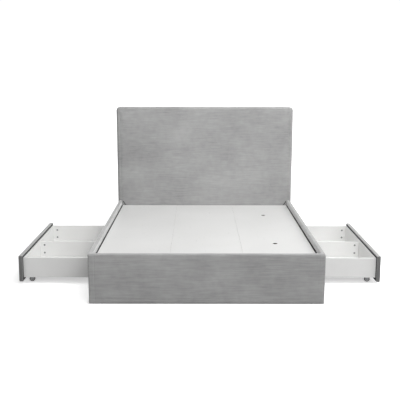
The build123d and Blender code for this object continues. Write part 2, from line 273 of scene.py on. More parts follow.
def sewing_thread():
    """Twisted polyester thread, a little paler than the pile."""
    shader = Shader("sewing_thread")
    twist = shader.noise(2600, detail=2)
    colour = shader.mix(twist, (0.20, 0.20, 0.20), (0.34, 0.34, 0.34))
    relief = shader.bump(twist, 0.0002)
    return shader.surface(Base_Color=colour, Roughness=0.55 + twist * 0.2, Normal=relief)


thread = sewing_thread()
print("velvet and thread ready")

# %% [markdown]
# ## Boards and timber
# Three woods are needed. The deck and the drawers are chipboard faced with white melamine paper: a smooth,
# hard, slightly pearled skin whose gloss varies a little and whose handling leaves faint scuffs. Bare
# chipboard shows where no paper covers it: pressed flakes of several browns. The ledgers, bearers and frame
# are planed softwood, where growth rings make long stripes along the piece.

# %% Melamine, chipboard and softwood
def melamine(name, white, raw_edges_with_painted_shade):
    """White laminate over chipboard, banded all round, or with its ends and bores left unbanded and
    coloured near black as painted shade.
    """
    shader = Shader(name)
    clouds = shader.noise(3.0, detail=4)
    pearl = shader.noise(1100, detail=2)
    scuffs = shader.noise(60, detail=5, roughness=0.7, stretch=(1, 0.12, 1)).above(0.66, 0.06)
    tone = 0.5 + (clouds - 0.5) * 0.8 + (pearl - 0.5) * 0.25 - scuffs * 0.35
    dull, clean = white - 0.06, white + 0.06
    colour = shader.mix(tone, (dull, dull, dull - 0.01), (clean, clean, clean - 0.008))
    shine = 0.36 + (clouds - 0.5) * 0.25 + scuffs * 0.15
    # Sawn ends and finger-hole walls of the deck show raw chipboard, but coloured near black, far darker
    # than the raw board's own browns: partly the real raw edge, partly a painted shade in the holes and at
    # the ends.
    if raw_edges_with_painted_shade:
        banded = shader.facing("X").above(0.994, 0.003)
        sawn = (1 - shader.facing("Z").above(0.5, 0.1)) * (1 - banded)
        flakes = shader.noise(380, detail=4)
        bare = shader.mix(flakes, (0.035, 0.026, 0.02), (0.12, 0.09, 0.065))
        colour = shader.mix(sawn, colour, bare)
        shine = shine + sawn * 0.4
    return shader.surface(Base_Color=colour, Roughness=shine, Normal=shader.bump(pearl, 0.00012, 0.6))


def chipboard():
    """Bare pressed flakes."""
    shader = Shader("raw_board")
    flakes = shader.cells(shader.place((1, 1, 2.2)), 190, "Color")
    shade = shader.part(flakes, "X")
    dust = shader.noise(420, detail=4)
    rim = shader.cells(shader.place((1, 1, 2.2)), 190)
    colour = shader.mix(shade * 0.7 + dust * 0.3, (0.24, 0.15, 0.08), (0.62, 0.47, 0.30))
    relief = shader.bump(dust * 0.5 + rim * 0.5, 0.0005, 0.7)
    return shader.surface(Base_Color=colour, Roughness=0.8 + (dust - 0.5) * 0.2, Normal=relief)


def softwood(name, grain_axis):
    """Planed pine with its grain along one axis."""
    shader = Shader(name)
    stretch = [0.06 if axis == grain_axis else 1 for axis in range(3)]
    rings = shader.noise(26, detail=2, distortion=1.4, stretch=stretch)
    bands = shader.node("ShaderNodeMath", {"operation": "PINGPONG"}, {0: rings * 7, 1: 1.0})
    fibres = shader.noise(640, detail=3, stretch=stretch)
    colour = shader.mix(bands * 0.7 + fibres * 0.4, (0.46, 0.29, 0.13), (0.74, 0.56, 0.34))
    relief = shader.bump(fibres * 0.6 + bands * 0.4, 0.0003, 0.5)
    return shader.surface(Base_Color=colour, Roughness=0.58 + fibres * 0.2, Normal=relief)


white_laminate = melamine("white_laminate", 0.81, False)
deck_laminate = melamine("deck_laminate", 0.705, True)
raw_board = chipboard()
pine_across = softwood("softwood_across", 0)
pine_lengthwise = softwood("softwood_lengthwise", 1)
pine_upright = softwood("softwood_upright", 2)
print("boards and timber ready")

# %% [markdown]
# ## Metal, plastic, foam and lining
# Pressed brackets and castor forks are zinc plated: dull grey, with the faint clouds that the bath leaves
# and fine drawing lines. Bolts and axles are the same metal, brighter. The castor has a dark tyre on a pale
# nylon hub. Out of sight are open-cell foam and, over the back of the headboard, a spun black lining whose
# fibres are welded together at small dots.

# %% Small-part finishes
def zinc(name, bright, dull):
    """Plated steel."""
    shader = Shader(name)
    clouds = shader.noise(55, detail=4)
    lines = shader.noise(1900, detail=2, stretch=(1, 1, 0.05))
    scratches = shader.noise(700, detail=3, stretch=(0.08, 1, 1)).above(0.68, 0.03)
    colour = shader.mix(clouds * 0.8 + lines * 0.2, dull, bright)
    rough = 0.28 + clouds * 0.25 + scratches * 0.15
    relief = shader.bump(lines + scratches, 0.00008, 0.5)
    return shader.surface(Base_Color=colour, Metallic=1.0, Roughness=rough, Normal=relief)


def plastic(name, dark, light, rough):
    """Moulded plastic with a fine sandblasted grain and dust in it."""
    shader = Shader(name)
    grain = shader.noise(1400, detail=2)
    dust = shader.noise(90, detail=5, roughness=0.7)
    colour = shader.mix(dust * 0.7 + grain * 0.3, dark, light)
    relief = shader.bump(grain, 0.00015, 0.6)
    return shader.surface(Base_Color=colour, Roughness=rough + (dust - 0.5) * 0.3, Normal=relief)


def open_cell_foam():
    """Cream foam, all pores."""
    shader = Shader("foam")
    pores = shader.cells(shader.place(), 700)
    clouds = shader.noise(9)
    colour = shader.mix(clouds * 0.5 + pores * 0.5, (0.60, 0.55, 0.38), (0.84, 0.80, 0.64))
    relief = shader.bump(pores, 0.0008)
    return shader.surface(Base_Color=colour, Roughness=0.95 - pores * 0.1, Normal=relief)


# The same black cloth also makes the strips that paint shade inside the rails, at the rails' head ends and
# on the drawer fronts' backs.
def spun_lining():
    """Black spun-bonded lining with its weld dots."""
    shader = Shader("back_lining")
    dots = shader.cells(shader.place(), 330).above(0.30, 0.05)
    fibres = shader.noise(900, detail=4, distortion=2.0, stretch=(1, 1, 0.2))
    wrinkles = shader.noise(6, detail=3, distortion=1.0)
    colour = shader.mix(fibres * 0.6 + dots * 0.3, (0.008, 0.008, 0.009), (0.055, 0.055, 0.06))
    relief = shader.bump(wrinkles, 0.006, 0.5)
    relief = shader.bump(dots * 0.7 + fibres * 0.3, 0.0004, 0.8, under=relief)
    return shader.surface(Base_Color=colour, Roughness=0.75 + fibres * 0.2, Normal=relief)


zinc_sheet = zinc("zinc_steel", (0.62, 0.63, 0.64), (0.40, 0.41, 0.43))
dull_zinc = zinc("cam_zinc", (0.34, 0.34, 0.35), (0.20, 0.20, 0.21))
bright_zinc = zinc("fastener_steel", (0.72, 0.72, 0.73), (0.52, 0.52, 0.54))
tyre_plastic = plastic("castor_tyre", (0.035, 0.035, 0.037), (0.10, 0.10, 0.10), 0.55)
hub_plastic = plastic("castor_hub", (0.50, 0.50, 0.50), (0.66, 0.66, 0.65), 0.42)
glide_plastic = plastic("glide_plastic", (0.03, 0.03, 0.03), (0.08, 0.08, 0.08), 0.5)
foam = open_cell_foam()
lining = spun_lining()
print("metal, plastic, foam and lining ready")

# %% [markdown]
# ## Finishes for the frame
# Every node that keeps its designed shape only needs its finish. A node's name says what it is, so one list
# of name endings, read in order, covers the whole frame. Softwood is chosen by the way the piece runs.

# %% Give each frame node its finish
def finish(piece, material):
    """Makes a material the only one on a piece."""
    piece.data.materials.clear()
    piece.data.materials.append(material)


finish_by_name = (
    ("cover", velvet_across), ("foam", foam), ("padding", foam), ("lining", lining),
    ("frame", pine_upright), ("base_rail", pine_across), ("foot_ledger", pine_across),
    ("head_ledger", pine_across), ("cross_bearers", pine_across), ("ledger", pine_lengthwise),
    ("drawer_guides", pine_across), ("drawer_stops", pine_upright),
    ("rail_boards", raw_board), ("panel", raw_board), ("bulkheads", raw_board), ("front_board", raw_board),
    ("headboard_board", raw_board), ("foot_board", raw_board),
    ("brackets", zinc_sheet), ("forks", zinc_sheet), ("cam_locks", dull_zinc),
    ("bolts", bright_zinc), ("axles", bright_zinc), ("screws", bright_zinc),
    ("glides", glide_plastic), ("wheel", tyre_plastic), ("deck_board", deck_laminate),
)
for node_name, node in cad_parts.items():
    matches = [material for ending, material in finish_by_name if ending in node_name]
    finish(node, matches[0] if matches else white_laminate)
print(len(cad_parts), "frame nodes finished")

# %% [markdown]
# ## Hands for modelling
# The upholstery is modelled as by hand: a block is added at the size of the part it covers, its edges are
# picked by where they lie and bevelled, and it is cut across so that its flats can bend. Small helpers do
# the picking and cutting, because an operator works on whatever is selected, and everything else has to be
# let go first.

# %% Helpers that pick, add and cut
def only(piece):
    """Leaves edit mode and makes a piece the only one selected."""
    if bpy.context.object is not None and bpy.context.object.mode != "OBJECT":
        bpy.ops.object.mode_set(mode="OBJECT")
    bpy.ops.object.select_all(action="DESELECT")
    piece.select_set(True)
    bpy.context.view_layer.objects.active = piece
    return piece


def place_for_good(name):
    """Names the primitive just added and puts its place, turn and size into its mesh."""
    piece = bpy.context.object
    piece.name = piece.data.name = name
    only(piece)
    bpy.ops.object.transform_apply(location=True, rotation=True, scale=True)
    return piece


def block(name, low, high):
    """A plain block between two corners, the start of a piece."""
    bpy.ops.object.select_all(action="DESELECT")
    bpy.ops.mesh.primitive_cube_add(size=1, location=(Vector(low) + Vector(high)) / 2)
    bpy.context.object.scale = Vector(high) - Vector(low)
    return place_for_good(name)


def smooth(piece, degrees):
    """Shades a piece smooth, with edges sharper than an angle left sharp."""
    only(piece)
    bpy.ops.object.shade_smooth_by_angle(angle=math.radians(degrees))


def hand_over(piece, material, body):
    """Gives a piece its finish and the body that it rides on."""
    finish(piece, material)
    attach(piece, body)
    print(piece.name, len(piece.data.polygons), "faces")


def pick(piece, kind, wanted):
    """Opens a piece for editing with the faces or edges picked whose corners and middle pass a test."""
    only(piece)
    bpy.ops.object.mode_set(mode="EDIT")
    bpy.ops.mesh.select_mode(type=kind)
    bpy.ops.mesh.select_all(action="DESELECT")
    mesh = bmesh.from_edit_mesh(piece.data)
    found = 0
    for part in mesh.faces if kind == "FACE" else mesh.edges:
        corners = [corner.co for corner in part.verts]
        middle = sum(corners, Vector()) / len(corners)
        if wanted(corners, middle):
            part.select_set(True)
            found += 1
    bmesh.update_edit_mesh(piece.data)
    return found


def round_edges(piece, radius, steps, wanted):
    """Rounds the edges that pass a test."""
    pick(piece, "EDGE", wanted)
    bpy.ops.mesh.bevel(offset=radius, segments=steps, affect="EDGES")
    bpy.ops.object.mode_set(mode="OBJECT")


def hold_edges(piece, wanted):
    """Creases edges so that smoothing leaves them where they are."""
    pick(piece, "EDGE", wanted)
    bpy.ops.transform.edge_crease(value=0.95)
    bpy.ops.object.mode_set(mode="OBJECT")


def open_up(piece, wanted):
    """Takes away the faces that pass a test."""
    if pick(piece, "FACE", wanted):
        bpy.ops.mesh.delete(type="FACE")
    bpy.ops.object.mode_set(mode="OBJECT")


def edit_all(piece):
    """Opens a piece for editing with all of it selected."""
    only(piece)
    bpy.ops.object.mode_set(mode="EDIT")
    bpy.ops.mesh.select_all(action="SELECT")


AXES = (Vector((1, 0, 0)), Vector((0, 1, 0)), Vector((0, 0, 1)))


def cut_across(piece, axis, places):
    """Cuts a piece all round at each place along an axis."""
    edit_all(piece)
    for place in places:
        bpy.ops.mesh.select_all(action="SELECT")
        bpy.ops.mesh.bisect(plane_co=AXES[axis] * place, plane_no=AXES[axis])
    bpy.ops.object.mode_set(mode="OBJECT")


def evenly(low, high, pitch, margin):
    """Places between two ends at about a pitch, starting a margin in."""
    count = max(1, round((high - low - 2 * margin) / pitch))
    return [low + margin + (high - low - 2 * margin) * step / count for step in range(count + 1)]


def points_of(piece, what="co"):
    """Vertex positions or normals as an array."""
    values = np.empty(len(piece.data.vertices) * 3)
    if what == "co":
        piece.data.vertices.foreach_get("co", values)
    else:
        piece.data.vertex_normals.foreach_get("vector", values)
    return values.reshape(-1, 3)


def move_points(piece, points):
    """Puts every vertex of a piece in a new place."""
    piece.data.vertices.foreach_set("co", points.ravel())
    piece.data.update()


def apply_all(piece):
    """Applies every modifier in turn."""
    only(piece)
    for modifier in list(piece.modifiers):
        bpy.ops.object.modifier_apply(modifier=modifier.name)


def subtract(piece, cutter):
    """Takes a cutter's space out of a piece, and the cutter away."""
    hollow = piece.modifiers.new("hollow", "BOOLEAN")
    hollow.object = cutter
    apply_all(piece)
    bpy.data.objects.remove(cutter)


print("modelling helpers ready")

# %% [markdown]
# ## Letting padding swell
# Foam pushes its cover out until the cover is tight, and staples hold the cover's turned edges. Sculpting
# that swell looks arbitrary, while a short cloth simulation finds it: pressure inside, the stapled edges
# held, no gravity. A wide flat face would balloon, so the push is capped smoothly, and nothing may sink on
# to the board below. Corners that coincide are merged first, because an edge with no length stops the
# simulation. What is left is a flat that crowns up from its edges, as a tight pad does. Over it go slow
# waves about a millimetre high, which are what catch the light on real upholstery.

# %% Swell, waves and seams
CLOTH = {
    "quality": 5, "mass": 0.3, "tension_stiffness": 25, "compression_stiffness": 25, "shear_stiffness": 12,
    "bending_stiffness": 6, "use_pressure": True, "uniform_pressure_force": 4.0,
}
CLOTH_FRAMES = 18
SINK_LIMIT = 0.0003


def swell(piece, most, held):
    """Blows a cover up as cloth, with the points that pass a test held, by at most a distance."""
    edit_all(piece)
    bpy.ops.mesh.remove_doubles(threshold=2e-5)
    bpy.ops.object.mode_set(mode="OBJECT")
    rest, outward = points_of(piece), points_of(piece, "normal")
    staples = piece.vertex_groups.new(name="staples")
    staples.add([int(i) for i in np.flatnonzero([held(point) for point in rest])], 1.0, "REPLACE")
    cloth = piece.modifiers.new("cover", "CLOTH")
    for name, value in CLOTH.items():
        setattr(cloth.settings, name, value)
    cloth.settings.vertex_group_mass = staples.name
    cloth.settings.effector_weights.gravity = 0
    cloth.collision_settings.use_collision = False
    cloth.point_cache.frame_end = CLOTH_FRAMES
    for frame_number in range(1, CLOTH_FRAMES + 1):
        bpy.context.scene.frame_set(frame_number)
    blown = piece.evaluated_get(bpy.context.evaluated_depsgraph_get())
    push = points_of(blown) - rest
    piece.modifiers.remove(cloth)
    piece.vertex_groups.remove(staples)
    bpy.context.scene.frame_set(1)
    length = np.maximum(np.linalg.norm(push, axis=1, keepdims=True), 1e-9)
    push *= most * np.tanh(length / most) / length
    sunk = np.minimum((push * outward).sum(axis=1, keepdims=True) + SINK_LIMIT, 0)
    move_points(piece, rest + push - outward * sunk)
    print(piece.name, "swelled by up to", round(1000 * float(np.abs(push).max()), 1), "mm")


def ripple(piece, height, seed, reach=0.35):
    """Adds slow waves to a cover, along its own normals."""
    dice = np.random.default_rng(seed)
    points, normals = points_of(piece), points_of(piece, "normal")
    wave = np.full(len(points), 2.0)
    for _ in range(9):
        direction = dice.normal(size=3)
        direction /= np.linalg.norm(direction)
        length = reach * dice.uniform(0.35, 1.3)
        wave += np.sin(points @ direction * math.tau / length + dice.uniform(0, math.tau))
    move_points(piece, points + normals * (wave / 9 * 2 * height)[:, None])


def pleat(piece, corner, way):
    """Presses gathered folds into a cover round one top corner, fanning out from a point inside it."""
    depth = width = 0.0035
    points, normals = points_of(piece), points_of(piece, "normal")
    run, rise = (points[:, 0] - corner[0]) * way, points[:, 2] - corner[1]
    reach = np.hypot(run, rise)
    angle = np.arctan2(rise, run)
    push = np.zeros(len(points))
    for fold, share in ((0.22, 0.8), (0.62, 1.0), (1.02, 0.85), (1.38, 0.55)):
        across_fold = (angle - fold) * reach / width
        push += share * np.exp(-across_fold ** 2)
    window = np.clip((reach - 0.006) / 0.014, 0, 1) * np.clip((0.060 - reach) / 0.020, 0, 1)
    move_points(piece, points - normals * (push * window * depth)[:, None])


def sew(piece, axis, place, wanted, depth=0.0016):
    """Pulls a seam into a cover along a plane: three close cuts, and the middle one drawn in."""
    half_width = 0.003
    cut_across(piece, axis, [place - half_width, place, place + half_width])
    points, normals = points_of(piece), points_of(piece, "normal")
    on_seam = np.abs(points[:, axis] - place) < 1e-5
    on_seam &= np.array([wanted(point) for point in points])
    move_points(piece, points - normals * (on_seam * depth)[:, None])


CLOTH_THICKNESS = 0.0025


def make_cover(piece, material, body, fill, *nodes):
    """Smooths a cover, gives the cloth its thickness and finish, and joins it to the frame."""
    smoother = piece.modifiers.new("smooth", "SUBSURF")
    smoother.levels = smoother.render_levels = 1
    wall = piece.modifiers.new("thickness", "SOLIDIFY")
    wall.thickness = CLOTH_THICKNESS
    wall.offset = -1
    apply_all(piece)
    smooth(piece, 40)
    hand_over(piece, material, body)
    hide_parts(*nodes)


def padding_under(cover, name, *nodes):
    """The foam that fills a swelled cover: the same form, a little more than the cloth smaller."""
    padding = add_piece(name, cover.data.copy())
    gap = CLOTH_THICKNESS + 0.0006
    move_points(padding, points_of(padding) - points_of(padding, "normal") * gap)
    hand_over(padding, foam, "frame")
    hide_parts(*nodes)
    return padding


def cut_off(piece, axis, place, keep):
    """Cuts a piece flat across an axis, closes the cut, and keeps the low (-1) or the high (1) side."""
    edit_all(piece)
    bpy.ops.mesh.bisect(
        plane_co=AXES[axis] * place, plane_no=AXES[axis], use_fill=True,
        clear_inner=keep > 0, clear_outer=keep < 0,
    )
    bpy.ops.object.mode_set(mode="OBJECT")


print("upholstery helpers ready")

# %% [markdown]
# ## The headboard
# The headboard is a board with 37 mm of foam on its front, in a fitted cover. The cover's front panel is
# sewn to a narrow side band just inside the rounded edge, the seam running up both sides and across the
# top, and the band turns round on to the back, where it is stapled. So the block is rounded first, small at
# the back and full at the front, then cut into a net of even cells, blown up and rippled. The top corners
# get their gathered folds, and only then is the seam drawn in and the back opened for the lining.

# %% Model the headboard's cover
head_low, head_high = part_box("headboard_cover")
lining_low, lining_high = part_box("headboard_back_lining")
head_swell = 0.004
corner_radius, front_radius, back_radius = 0.030, 0.024, 0.006
seam_inset = 0.029
cell, net_margin = 0.030, 0.060  # the net of cuts on the flats, and where it starts
edge_cell, edge_cells = 0.007, 8  # the finer net near the edges, for the folds
staple_band = 0.012  # how far round on to the back the cloth can still move
hem = 0.002

headboard = block("headboard_upholstery", head_low + Vector((0, head_swell, 0)), head_high)
front_y, back_y, low_z = head_low.y + head_swell, head_high.y, head_low.z
half_x, top_z = head_high.x, head_high.z
near = 1e-4


def flat_on(corners, axis, place):
    """True if every corner lies on a plane across an axis."""
    return all(abs(corner[axis] - place) < near for corner in corners)


round_edges(headboard, corner_radius, 8, lambda c, m: flat_on(c, 2, top_z) and abs(m.x) > half_x - near)
round_edges(headboard, front_radius, 6, lambda c, m: flat_on(c, 1, front_y) and not flat_on(c, 2, low_z))
round_edges(headboard, back_radius, 2, lambda c, m: flat_on(c, 1, back_y) and not flat_on(c, 2, low_z))
fine = [0.004 + edge_cell * step for step in range(edge_cells)]
cut_across(headboard, 0, evenly(-half_x, half_x, cell, net_margin))
cut_across(headboard, 0, [side * (half_x - inset) for inset in fine for side in (-1, 1)])
cut_across(headboard, 2, evenly(low_z, top_z, cell, net_margin) + [top_z - inset for inset in fine])
cut_across(headboard, 1, [front_y + front_radius + 0.014, back_y - back_radius - 0.014])
hold_edges(headboard, lambda c, m: flat_on(c, 2, low_z))
swell(headboard, head_swell, lambda p: p[1] > back_y - staple_band or p[2] < low_z + hem)
ripple(headboard, 0.0007, seed=3)
flare, flare_start, fold_inset = 0.005, 0.35, 0.034
points = points_of(headboard)
points[:, 0] *= 1 + flare * np.clip((points[:, 2] - flare_start) / (top_z - flare_start), 0, 1)
move_points(headboard, points)
for side in (-1, 1):
    pleat(headboard, (side * (half_x - fold_inset), top_z - fold_inset), side)

foam_low, foam_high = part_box("headboard_foam")
head_pad = padding_under(headboard, "headboard_pad", "headboard_foam")
cut_off(head_pad, 1, foam_high.y, -1)
cut_off(head_pad, 2, foam_low.z, 1)
smooth(head_pad, 40)

seam_x, seam_z = half_x - seam_inset, top_z - seam_inset
seam_y = front_y + 0.012
for side in (-1, 1):
    sew(headboard, 0, side * seam_x, lambda p: p[1] < seam_y and p[2] < seam_z + 0.001)
sew(headboard, 2, seam_z, lambda p: p[1] < seam_y and abs(p[0]) < seam_x + 0.001)
cut_across(headboard, 0, [lining_low.x, lining_high.x])
cut_across(headboard, 2, [lining_low.z, lining_high.z])
open_up(headboard, lambda c, m: (
    m.y > back_y - 0.004 and lining_low.x < m.x < lining_high.x and lining_low.z < m.z < lining_high.z))
make_cover(headboard, velvet_across, "frame", 0.8, "headboard_cover")

# %% [markdown]
# ## The foot panel
# The foot panel is a board wrapped in thinner wadding. Its cover has a narrow strip at each end, joined by
# an upright seam, and a hem line just above the floor where the cloth is folded under. Under the deck the
# cloth stops short, because nobody sees it and the ledger needs bare board.

# %% Model the foot panel's cover
foot_low, foot_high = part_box("foot_cover")
deck_low, deck_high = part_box("deck_board_left")
rail_low, rail_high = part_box("right_rail_cover")
foot_swell = 0.0022
foot_radius = 0.011
foot_cell, foot_margin = 0.024, 0.014
end_strip = 0.042
hem_height = 0.030
cloth_end = deck_low.z + 0.002

foot_start = foot_low + Vector((0, foot_swell, 0))
foot_end = foot_high.copy()
foot_panel = block("foot_panel_upholstery", foot_start, foot_end)
round_edges(foot_panel, foot_radius, 5, lambda c, m: (
    abs(m.x) > foot_end.x - near and abs(c[0].z - c[1].z) > 0.1))
round_edges(foot_panel, foot_radius, 5, lambda c, m: flat_on(c, 2, foot_end.z))
cut_across(foot_panel, 0, evenly(-foot_end.x, foot_end.x, foot_cell, foot_margin))
cut_across(foot_panel, 2, evenly(foot_start.z, foot_end.z, foot_cell, foot_margin))
hold_edges(foot_panel, lambda c, m: flat_on(c, 2, foot_start.z))
swell(foot_panel, foot_swell, lambda p: p[1] > foot_end.y - 0.004 or p[2] < foot_start.z + hem)
ripple(foot_panel, 0.0006, seed=5, reach=0.25)
tuck = 0.004
points = points_of(foot_panel)
points[:, 0] *= 1 - tuck * np.clip((foot_end.z - points[:, 2]) / (foot_end.z - foot_start.z), 0, 1)
move_points(foot_panel, points)

board_low, board_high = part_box("foot_board")
foot_pad = padding_under(foot_panel, "foot_wadding", "foot_padding")
reach_past = 0.02
subtract(foot_pad, block(
    "board_space", board_low - Vector((0, 0, reach_past)), board_high + Vector((0, reach_past, 0))))
smooth(foot_pad, 40)

for side in (-1, 1):
    sew(foot_panel, 0, side * (foot_end.x - end_strip), lambda p: p[1] < foot_end.y - 0.004)
sew(foot_panel, 2, foot_start.z + hem_height, lambda p: p[1] < foot_end.y - 0.004, depth=0.001)
cut_across(foot_panel, 2, [cloth_end])
cut_across(foot_panel, 0, [-rail_low.x, rail_low.x])
open_up(foot_panel, lambda c, m: m.y > foot_end.y - 0.003 and m.z < cloth_end and abs(m.x) < rail_low.x)
make_cover(foot_panel, velvet_across, "frame", 0.9, "foot_cover")

# %% [markdown]
# ## The side rails
# Each rail is an arch: a long board with a bay cut up from the floor for the drawer. One tight wrap of
# velvet goes over the outside, the top and a short way down inside to the deck, and turns in round the bay.
# A block with the bay taken out by a Boolean gives that arch. Its ends sink a little into the foot panel
# and the headboard, so that no bare board shows between. The two sides are one recipe with X reversed.

# %% Model the rail covers
drawer_side_gap, drawer_top_gap = 0.004, 0.005
rail_swell = 0.0012
top_radius, mouth_radius, rail_cell = 0.006, 0.003, 0.028
end_sink = 0.0006  # how far each end goes into the panel that it meets


def rail_cover(side, way, seed):
    """The wrap of one side rail; way is 1 on the right and -1 on the left."""
    low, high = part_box(f"{side}_rail_cover")
    front_low, front_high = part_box(f"{side}_drawer_front_cover")
    bay_near, bay_far = front_low.y - drawer_side_gap, front_high.y + drawer_side_gap
    bay_top = front_high.z + drawer_top_gap
    inside, outside = (low.x, high.x) if way > 0 else (high.x, low.x)
    outside -= way * rail_swell * 0.5
    lower, upper = sorted((inside, outside))
    foot_end_y, head_end = low.y - end_sink, high.y + end_sink
    rail = block(f"{side}_rail_upholstery", (lower, foot_end_y, low.z), (upper, head_end, high.z))
    subtract(rail, block(
        "bay", (lower - reach_past, bay_near, low.z - reach_past), (upper + reach_past, bay_far, bay_top)))
    round_edges(rail, top_radius, 4, lambda c, m: flat_on(c, 2, high.z) and abs(c[0].y - c[1].y) > 0.1)

    def on_an_end(corners, middle):
        on_end = flat_on(corners, 1, foot_end_y) or flat_on(corners, 1, head_end)
        return on_end and middle.z > low.z + near

    def on_bay_rim(corners, middle):
        along_bay = bay_near - near < middle.y < bay_far + near
        return flat_on(corners, 0, outside) and along_bay and low.z + near < middle.z < bay_top + near

    round_edges(rail, mouth_radius, 2, on_an_end)
    round_edges(rail, mouth_radius, 3, on_bay_rim)
    cut_across(rail, 1, evenly(foot_end_y, head_end, rail_cell, 0.010))
    cut_across(rail, 2, evenly(low.z, high.z, rail_cell, 0.012) + [cloth_end])
    hold_edges(rail, lambda c, m: flat_on(c, 2, low.z))
    swell(rail, rail_swell, lambda p: (
        abs(p[0] - outside) > 0.010 or p[2] < low.z + hem
        or not foot_end_y + hem < p[1] < head_end - hem))
    ripple(rail, 0.0004, seed=seed, reach=0.2)
    open_up(rail, lambda c, m: abs(m.x - inside) < 0.003 and m.z < cloth_end - near)
    make_cover(rail, velvet_lengthwise, "frame", 0.9, f"{side}_rail_cover")


rail_cover("left", -1, seed=11)
rail_cover("right", 1, seed=12)

# %% [markdown]
# ## Black strips that paint the shade inside the rails
# Between the rail and the loose deck boards runs a narrow gap in shade. A strip of the same black lining as
# the headboard's back covers the velvet's turned-in edge there and is a painted shade of the gap. Each
# strip is a thin flat band, stood just off the velvet, that rises over the deck by a few millimetres, on
# the right more at the foot than at the head, to paint the rail's shaded inner face, and its top is cut a
# little crooked. A black sheet, folded across and caught between the rail and the headboard, shows as a
# short slanting line: a painted shade of the crease there.

# %% Model the black strips that paint the shade
def rail_shade_strip(side, way, over_at_foot, over_at_head):
    """A black strip inside one rail, a painted shade in the gap; it comes over the deck by a little at each
    end, which paints the rail's shaded inner face.
    """
    low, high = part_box(f"{side}_rail_cover")
    face = low.x if way > 0 else high.x
    face -= way * 0.0005
    near_y, far_y = deck_low.y - 0.002, high.y - 0.001
    lower, upper = sorted((face, face - way * 0.0008))
    strip = block(f"{side}_rail_shade_strip", (lower, near_y, deck_low.z + 0.0005), (upper, far_y, deck_high.z))
    cut_across(strip, 1, evenly(near_y, far_y, 0.05, 0.01))
    round_edges(strip, 0.0003, 2, lambda c, m: abs(c[0].y - c[1].y) > 0.005 and m.z > deck_high.z - near)
    points = points_of(strip)
    share = (points[:, 1] - near_y) / (far_y - near_y)
    over = over_at_foot + (over_at_head - over_at_foot) * share + 0.0007 * np.sin(points[:, 1] * 23 + way)
    points[:, 2] += over * (points[:, 2] > deck_high.z - 0.002)
    move_points(strip, points)
    hand_over(strip, lining, "frame")


def crease_shade_sheet(side, way):
    """A slanting black sheet, folded across and caught between the rail's end and the headboard: a painted
    shade of the crease there.
    """
    low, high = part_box(f"{side}_rail_cover")
    face = low.x if way > 0 else high.x
    near_rail, far_from_rail, lean = 0.030, 0.038, 0.024
    start, end = sorted((face - way * far_from_rail, face - way * near_rail))
    base, top = deck_high.z + 0.0006, deck_high.z + 0.036
    fold = block(f"{side}_crease_shade_sheet", (start, high.y - 0.0012, base), (end, high.y + 0.004, top))
    cut_across(fold, 2, evenly(base, top, 0.006, 0.004))
    round_edges(fold, 0.0004, 2, lambda c, m: True)
    points = points_of(fold)
    share = np.clip((points[:, 2] - base) / (top - base), 0, 1)
    points[:, 0] += way * lean * share ** 0.85
    move_points(fold, points)
    hand_over(fold, lining, "frame")


rail_shade_strip("left", -1, 0.005, 0.005)
rail_shade_strip("right", 1, 0.009, 0.002)
crease_shade_sheet("left", -1)
crease_shade_sheet("right", 1)

# %% [markdown]
# ## The drawer fronts
# A drawer front is a board in the same wrap, rounded on every edge, wider and taller than its box. The
# cloth turns round on to its back and stops where the white box is screwed on, so the back is opened to
# the outline of the box. It rides on its drawer. Round the box, black lining hides the stapled edge and is
# also a painted shade on the fronts' backs.

# %% Model the drawer fronts' covers
front_swell = 0.0018
wrap_radius, front_cell, front_margin = 0.0045, 0.024, 0.008


def drawer_front_cover(side, way, seed):
    """The wrap of one drawer front."""
    low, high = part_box(f"{side}_drawer_front_cover")
    seat_low, seat_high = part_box(f"{side}_drawer_inner_front")
    trim = Vector((front_swell * 0.5,) * 3)
    front = block(f"{side}_drawer_front_upholstery", low + trim, high - trim)
    back_x = low.x + trim.x if way > 0 else high.x - trim.x
    round_edges(front, wrap_radius, 3, lambda c, m: True)
    cut_across(front, 1, evenly(low.y, high.y, front_cell, front_margin))
    cut_across(front, 2, evenly(low.z, high.z, front_cell, front_margin))
    swell(front, front_swell, lambda p: abs(p[0] - back_x) < 0.002)
    ripple(front, 0.0004, seed=seed, reach=0.2)
    cut_across(front, 1, [seat_low.y, seat_high.y])
    cut_across(front, 2, [seat_low.z, seat_high.z])
    open_up(front, lambda c, m: abs(m.x - back_x) < 0.003 and seat_low.y < m.y < seat_high.y
            and seat_low.z < m.z < seat_high.z)
    make_cover(front, velvet_drawer, f"{side}_drawer", 0.9, f"{side}_drawer_front_cover")


drawer_front_cover("left", -1, seed=21)
drawer_front_cover("right", 1, seed=22)

# %% Line the backs of the drawer fronts, a painted shade there too
lining_inset = 0.006
sheet_sunk, sheet_proud = 0.0004, 0.0006


def front_lining_and_shade(side, way):
    """The black lining on a drawer front's back, round the box that is screwed to it: it hides the staples
    and is also a painted shade on that back.
    """
    low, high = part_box(f"{side}_drawer_front_cover")
    seat_low, seat_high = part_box(f"{side}_drawer_inner_front")
    face = low.x if way > 0 else high.x
    outer = face - way * sheet_proud
    start, end = sorted((face + way * sheet_sunk, outer))
    sheet = block(
        f"{side}_drawer_front_lining", (start, low.y + lining_inset, low.z + lining_inset),
        (end, high.y - lining_inset, high.z - lining_inset),
    )
    subtract(sheet, block(
        "seat", (start - reach_past, seat_low.y, seat_low.z), (end + reach_past, seat_high.y, seat_high.z)))
    round_edges(sheet, 0.0003, 2, lambda c, m: abs(m.x - outer) < 5e-5)
    hand_over(sheet, lining, f"{side}_drawer")


front_lining_and_shade("left", -1)
front_lining_and_shade("right", 1)

# %% [markdown]
# ## The castor wheels
# Each drawer rolls on four small fixed castors: a dark tyre pressed on a pale nylon hub with five ribs.
# One tyre and one hub are modelled at the origin, lying along Y, and copied to the eight axles, each copy
# with its own mesh and its place in that mesh. They ride on the wheels' own bodies, so that they turn.

